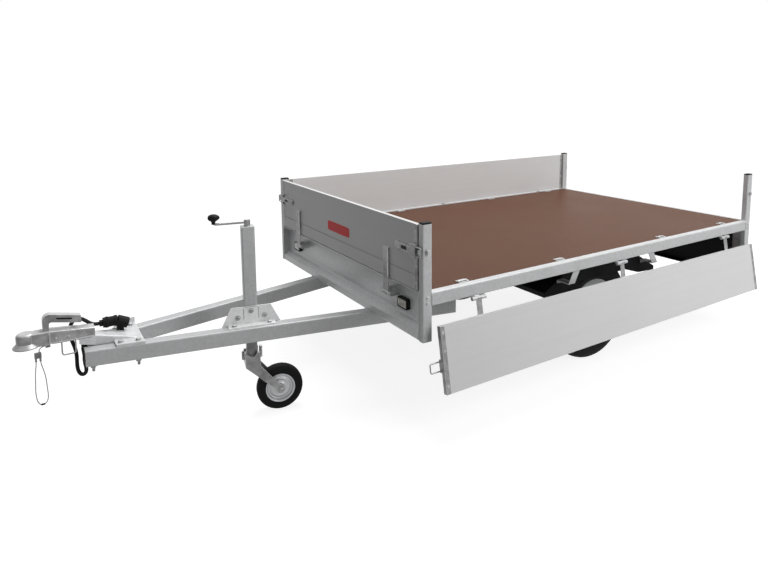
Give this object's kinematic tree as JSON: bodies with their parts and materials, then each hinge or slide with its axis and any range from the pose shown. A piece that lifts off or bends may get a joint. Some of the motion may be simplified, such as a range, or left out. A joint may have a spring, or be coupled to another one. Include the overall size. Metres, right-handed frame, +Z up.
{
  "type": "utility trailer",
  "caption": "Single-axle flatbed trailer with drop-down aluminium boards on every side, a ball coupling and a jockey wheel jack.",
  "frame": {"origin": "centre of the 50 mm towing ball that the coupling takes", "axes": "+X forwards along the drawbar, +Y to the trailer's left, +Z up"},
  "size_m": [4.0955, 1.7072, 0.974],
  "materials": {
    "galvanised_steel": "hot-dip galvanised, light spangle",
    "zinc_plated_steel": "bright zinc plated",
    "board_aluminium": "anodised satin",
    "phenolic_plywood": "brown phenolic film, fine mesh",
    "black_plastic": "moulded, fine grain",
    "tyre_rubber": "matt",
    "rim_silver": "silver paint",
    "lamp_lens": "clear moulded lens",
    "clear_lens": "clear moulded lens",
    "cable_steel": "stranded wire in a clear sleeve",
    "lead_rubber": "matt sheath"
  },
  "bodies": {
    "trailer": {"corner_posts": "galvanised_steel", "post_caps": "black_plastic", "side_rails": "galvanised_steel", "rear_rail": "galvanised_steel", "front_beam": "galvanised_steel", "floor_panel": "phenolic_plywood", "cross_members": "galvanised_steel", "chassis_rails": "galvanised_steel", "lamp_carrier": "black_plastic", "rear_lamps": "lamp_lens", "front_lamps": "clear_lens", "drawbar_arms": "galvanised_steel", "coupling_adapter": "galvanised_steel", "coupling_housing": "zinc_plated_steel", "coupling_head": "zinc_plated_steel", "coupling_handle": "zinc_plated_steel", "jack_outer_tube": "galvanised_steel", "jack_crank": "zinc_plated_steel", "jack_knob": "black_plastic", "jack_bracket": "galvanised_steel", "axle_tube": "galvanised_steel", "axle_arms": "galvanised_steel", "mudguards": "black_plastic", "mudguard_stays": "galvanised_steel", "lashing_eyes": "zinc_plated_steel", "hinge_lugs": "galvanised_steel", "post_hooks": "galvanised_steel", "cable_eye_and_clip": "zinc_plated_steel", "safety_cable_strand": "cable_steel", "safety_cable_loop": "cable_steel", "electric_lead": "lead_rubber", "lead_plug": "black_plastic", "drawbar_plastics": "black_plastic"},
    "left_wheel": {"wheel_rim_left": "rim_silver", "tyre_left": "tyre_rubber", "hub_left": "zinc_plated_steel"},
    "right_wheel": {"wheel_rim_right": "rim_silver", "tyre_right": "tyre_rubber", "hub_right": "zinc_plated_steel"},
    "jack_leg": {"jack_inner_tube": "zinc_plated_steel"},
    "jack_caster": {"jack_fork": "zinc_plated_steel"},
    "jack_wheel": {"jack_wheel_rim": "rim_silver", "jack_wheel_tyre": "tyre_rubber"},
    "front_board": {"headboard": "board_aluminium", "headboard_fittings": "zinc_plated_steel"},
    "left_side_board": {"left_board": "board_aluminium", "left_board_fittings": "zinc_plated_steel"},
    "right_side_board": {"right_board": "board_aluminium", "right_board_fittings": "zinc_plated_steel"},
    "rear_board": {"tailgate": "board_aluminium", "tailgate_fittings": "zinc_plated_steel"}
  },
  "joints": [
    {"name": "left_wheel_spin", "type": "hinge", "parent": "trailer", "child": "left_wheel", "pos_m": [-2.7, 0.57, -0.229], "axis": [0, 1, 0], "continuous": true},
    {"name": "right_wheel_spin", "type": "hinge", "parent": "trailer", "child": "right_wheel", "pos_m": [-2.7, -0.57, -0.229], "axis": [0, 1, 0], "continuous": true},
    {"name": "jack_slide", "type": "slide", "parent": "trailer", "child": "jack_leg", "axis": [0, 0, 1], "range_m": [-0.12, 0.02]},
    {"name": "jack_swivel", "type": "hinge", "parent": "jack_leg", "child": "jack_caster", "pos_m": [-0.892, 0.13523, -0.3], "axis": [0, 0, 1], "continuous": true},
    {"name": "jack_wheel_spin", "type": "hinge", "parent": "jack_caster", "child": "jack_wheel", "pos_m": [-1.01424, 0.16135, -0.408], "axis": [0.209, 0.9779, 0], "continuous": true},
    {"name": "headboard_fold", "type": "hinge", "parent": "trailer", "child": "front_board", "pos_m": [-1.413, 0, 0.081], "axis": [0, 1, 0], "range_deg": [0, 110]},
    {"name": "left_board_lift", "type": "hinge", "parent": "trailer", "child": "left_side_board", "pos_m": [-2.708, 0.802, 0.081], "axis": [1, 0, 0], "range_deg": [0, 169.5]},
    {"name": "right_board_drop", "type": "hinge", "parent": "trailer", "child": "right_side_board", "pos_m": [-2.708, -0.802, 0.081], "axis": [1, 0, 0], "range_deg": [0, 169.5]},
    {"name": "tailgate_lift", "type": "hinge", "parent": "trailer", "child": "rear_board", "pos_m": [-4.01, 0, 0.114], "axis": [0, 1, 0], "range_deg": [0, 180]}
  ]
}
